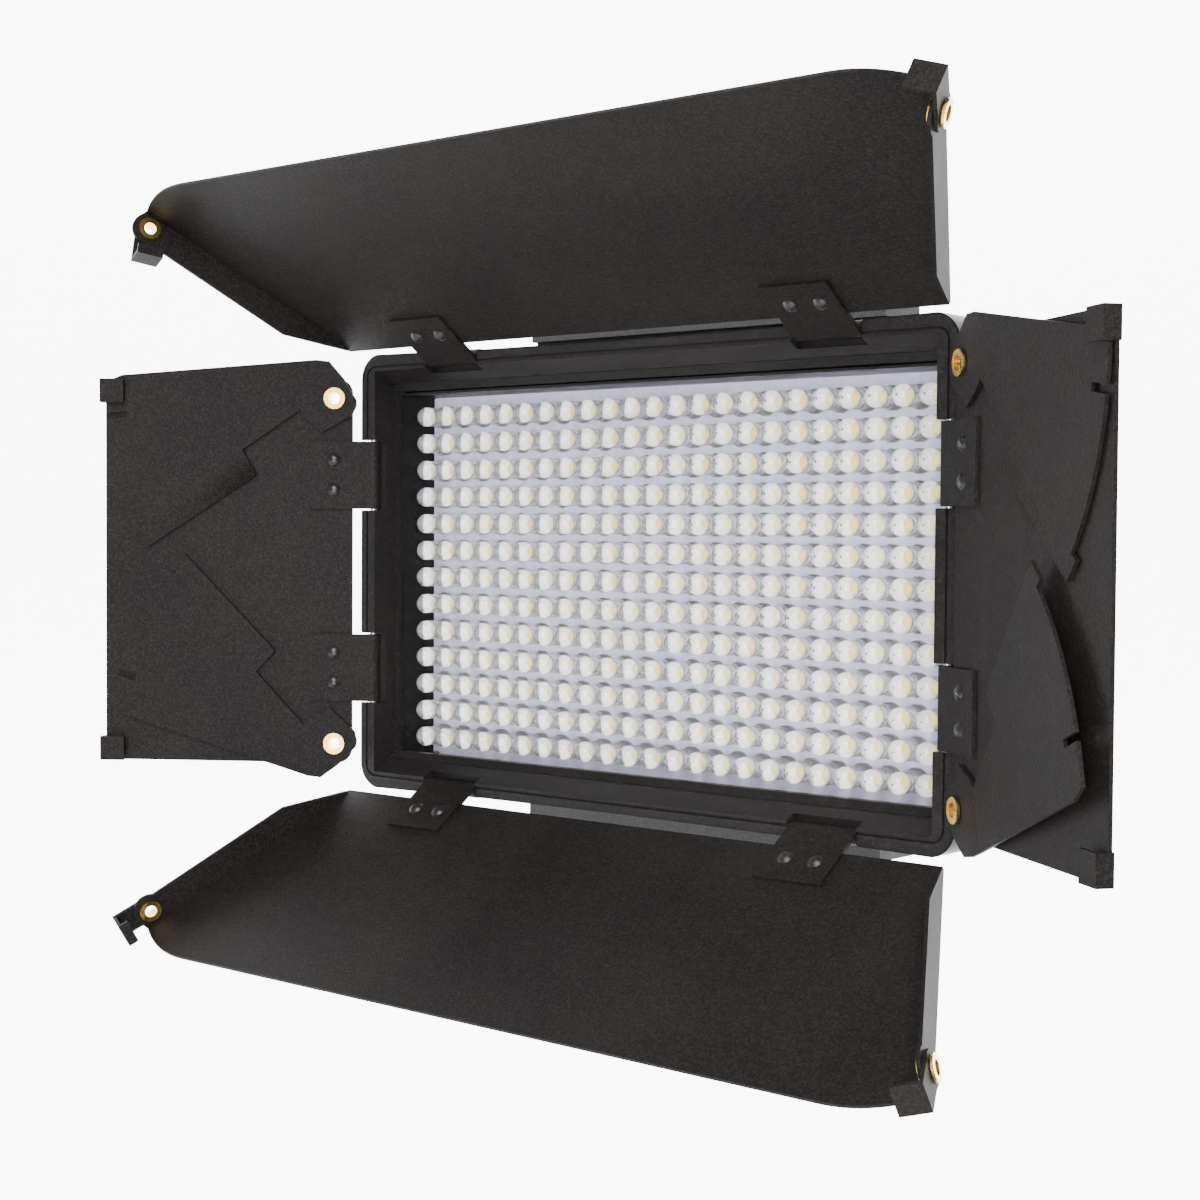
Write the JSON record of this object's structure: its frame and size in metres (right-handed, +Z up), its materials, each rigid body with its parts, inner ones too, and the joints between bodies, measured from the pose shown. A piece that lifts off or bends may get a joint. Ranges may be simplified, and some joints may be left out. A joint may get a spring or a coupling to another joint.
{
  "type": "LED panel light",
  "caption": "Black bi-colour LED panel light with a frame of four hinged barn doors, swinging corner wings, control knobs and a tripod thread.",
  "frame": {"origin": "centre of the mouth of the tripod thread under the housing", "axes": "+Z up along the tripod thread, -Y the way the light shines, +X to the right seen from the front"},
  "size_m": [0.2908, 0.1205, 0.1882],
  "materials": {
    "powder_coat": "fine textured matt black",
    "moulded_black": "satin",
    "rail_grey": "matt grey",
    "brass": "polished",
    "steel": "satin",
    "black_steel": "satin black",
    "circuit_board": "white solder mask",
    "green_board": "green solder mask",
    "clear_lens_warm": "clear epoxy over a warm chip",
    "clear_lens_cool": "clear epoxy over a cool chip",
    "cast_plate": "raw",
    "indicator_red": "clear tinted"
  },
  "bodies": {
    "base": {"door_frame": "powder_coat", "top_rail": "rail_grey", "bottom_rail": "rail_grey", "front_bezel": "moulded_black", "light_well": "moulded_black", "led_board": "circuit_board", "leds_warm": "clear_lens_warm", "leds_cool": "clear_lens_cool", "heat_plate": "cast_plate", "standoffs": "brass", "driver_board": "green_board", "rear_housing": "moulded_black", "housing_screws": "steel", "tripod_insert": "brass", "battery_plate": "moulded_black", "battery_contacts": "brass", "knob_pots": "steel", "switch_body": "moulded_black", "indicator_lights": "indicator_red", "power_inlet": "moulded_black", "hinge_pins": "steel"},
    "brightness_dial": {"brightness_knob": "moulded_black"},
    "colour_dial": {"colour_knob": "moulded_black"},
    "power_rocker": {"power_switch": "moulded_black"},
    "test_cap": {"test_button": "moulded_black"},
    "release_catch": {"battery_release": "moulded_black"},
    "top_panel": {"top_door": "powder_coat", "top_brackets": "powder_coat", "top_rivets": "black_steel", "top_eyelets": "brass"},
    "bottom_panel": {"bottom_door": "powder_coat", "bottom_brackets": "powder_coat", "bottom_rivets": "black_steel", "bottom_eyelets": "brass"},
    "left_panel": {"left_door": "powder_coat", "left_brackets": "powder_coat", "left_rivets": "black_steel", "left_eyelets": "brass"},
    "right_panel": {"right_door": "powder_coat", "right_brackets": "powder_coat", "right_rivets": "black_steel", "right_eyelets": "brass"},
    "left_upper_wing": {"left_upper_wing": "powder_coat"},
    "left_lower_wing": {"left_lower_wing": "powder_coat"},
    "right_upper_wing": {"right_upper_wing": "powder_coat"},
    "right_lower_wing": {"right_lower_wing": "powder_coat"},
    "top_left_clip": {"top_left_clip": "black_steel"},
    "top_right_clip": {"top_right_clip": "black_steel"},
    "bottom_left_clip": {"bottom_left_clip": "black_steel"},
    "bottom_right_clip": {"bottom_right_clip": "black_steel"}
  },
  "joints": [
    {"name": "top_door_hinge", "type": "hinge", "parent": "base", "child": "top_panel", "pos_m": [0, -0.03235, 0.1173], "axis": [1, 0, 0], "range_deg": [-54, 64]},
    {"name": "bottom_door_hinge", "type": "hinge", "parent": "base", "child": "bottom_panel", "pos_m": [0, -0.03235, 0.0095], "axis": [-1, 0, 0], "range_deg": [-54, 64]},
    {"name": "left_door_hinge", "type": "hinge", "parent": "base", "child": "left_panel", "pos_m": [-0.0864, -0.03235, 0.0634], "axis": [0, 0, -1], "range_deg": [-105, 35]},
    {"name": "right_door_hinge", "type": "hinge", "parent": "base", "child": "right_panel", "pos_m": [0.0864, -0.03235, 0.0634], "axis": [0, 0, 1], "range_deg": [-105, 35]},
    {"name": "left_upper_wing_turn", "type": "hinge", "parent": "left_panel", "child": "left_upper_wing", "pos_m": [-0.09368, -0.03904, 0.1082], "axis": [0.5736, -0.8192, 0], "range_deg": [-31, 5]},
    {"name": "left_lower_wing_turn", "type": "hinge", "parent": "left_panel", "child": "left_lower_wing", "pos_m": [-0.09368, -0.03904, 0.0186], "axis": [-0.5736, 0.8192, 0], "range_deg": [-45, 2]},
    {"name": "right_upper_wing_turn", "type": "hinge", "parent": "right_panel", "child": "right_upper_wing", "pos_m": [0.09368, -0.03904, 0.1082], "axis": [0.5736, 0.8192, 0], "range_deg": [-36, 3]},
    {"name": "right_lower_wing_turn", "type": "hinge", "parent": "right_panel", "child": "right_lower_wing", "pos_m": [0.09368, -0.03904, 0.0186], "axis": [-0.5736, -0.8192, 0], "range_deg": [-47, 1]},
    {"name": "top_left_clip_turn", "type": "hinge", "parent": "top_panel", "child": "top_left_clip", "pos_m": [-0.11406, -0.08274, 0.14847], "axis": [0.9063, -0.3419, 0.2484], "range_deg": [-80, 8]},
    {"name": "top_right_clip_turn", "type": "hinge", "parent": "top_panel", "child": "top_right_clip", "pos_m": [0.11406, -0.08274, 0.14847], "axis": [0.9063, 0.3419, -0.2484], "range_deg": [-2, 95]},
    {"name": "bottom_left_clip_turn", "type": "hinge", "parent": "bottom_panel", "child": "bottom_left_clip", "pos_m": [-0.11406, -0.08274, -0.02167], "axis": [-0.9063, 0.3419, 0.2484], "range_deg": [-2, 95]},
    {"name": "bottom_right_clip_turn", "type": "hinge", "parent": "bottom_panel", "child": "bottom_right_clip", "pos_m": [0.11406, -0.08274, -0.02167], "axis": [-0.9063, -0.3419, -0.2484], "range_deg": [-8, 85]},
    {"name": "brightness_turn", "type": "hinge", "parent": "base", "child": "brightness_dial", "pos_m": [0.067, 0.0172, 0.0874], "axis": [0, 1, 0], "range_deg": [-140, 140]},
    {"name": "colour_turn", "type": "hinge", "parent": "base", "child": "colour_dial", "pos_m": [0.067, 0.0172, 0.0394], "axis": [0, 1, 0], "range_deg": [-140, 140]},
    {"name": "power_rock", "type": "hinge", "parent": "base", "child": "power_rocker", "pos_m": [-0.067, 0.016, 0.0934], "axis": [1, 0, 0], "range_deg": [-12, 0]},
    {"name": "test_press", "type": "slide", "parent": "base", "child": "test_cap", "axis": [0, -1, 0], "range_m": [0, 0.0012], "stiffness_N_per_m": 600, "springref_m": -0.0005},
    {"name": "release_slide", "type": "slide", "parent": "base", "child": "release_catch", "axis": [0, 0, -1], "range_m": [0, 0.002], "stiffness_N_per_m": 300, "springref_m": -0.0005}
  ]
}
